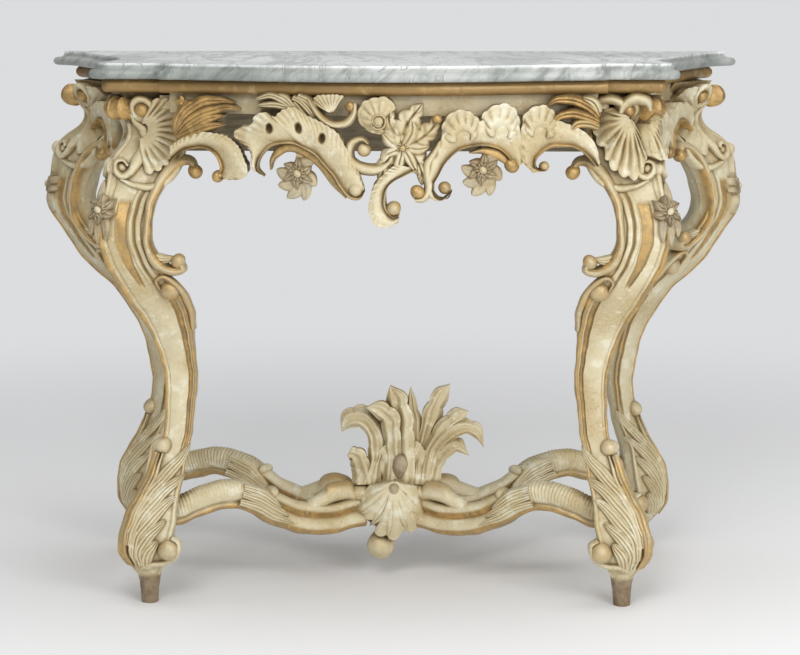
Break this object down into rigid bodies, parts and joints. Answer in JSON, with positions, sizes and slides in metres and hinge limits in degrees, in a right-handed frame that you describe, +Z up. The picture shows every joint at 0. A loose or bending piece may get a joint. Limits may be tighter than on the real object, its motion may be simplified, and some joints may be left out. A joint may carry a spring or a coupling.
{
  "type": "pier table",
  "caption": "Carved and painted pier table with scroll legs, pierced apron, crossed stretcher with a leaf finial, gilt mouldings and a loose marble slab.",
  "frame": {"origin": "on the floor under the middle of the marble slab", "axes": "+X to the right seen from the front, +Y back to the wall, +Z up"},
  "size_m": [1.1928, 0.6, 0.86],
  "materials": {
    "marble": "polished, grey veins",
    "painted_wood": "aged cream paint, parcel gilt",
    "gilding": "worn water gilding on wood",
    "bare_wood": "bare aged wood"
  },
  "bodies": {
    "table": {"top_frame_front": "gilding", "top_frame_left": "gilding", "top_frame_right": "gilding", "top_frame_back": "bare_wood", "front_rail": "painted_wood", "left_rail": "painted_wood", "right_rail": "painted_wood", "back_rail": "bare_wood", "left_bearer": "bare_wood", "right_bearer": "bare_wood", "glue_blocks": "bare_wood", "front_left_leg": "painted_wood", "front_right_leg": "painted_wood", "back_left_leg": "painted_wood", "back_right_leg": "painted_wood", "apron_left": "painted_wood", "apron_right": "painted_wood", "apron_cartouche": "painted_wood", "left_apron": "painted_wood", "right_apron": "painted_wood", "front_left_flower": "painted_wood", "front_right_flower": "painted_wood", "back_left_flower": "painted_wood", "back_right_flower": "painted_wood", "apron_left_flower": "painted_wood", "apron_right_flower": "painted_wood", "front_left_shell": "painted_wood", "front_right_shell": "painted_wood", "front_left_arm": "painted_wood", "front_right_arm": "painted_wood", "back_left_arm": "painted_wood", "back_right_arm": "painted_wood", "centre_block": "painted_wood", "finial": "painted_wood", "pendant_knob": "gilding", "arm_dowels": "bare_wood", "finial_dowel": "bare_wood"},
    "slab": {"marble_top": "marble"}
  },
  "joints": [
    {"name": "top_lift", "type": "slide", "parent": "table", "child": "slab", "axis": [0, 0, 1], "range_m": [0, 0.12]}
  ]
}
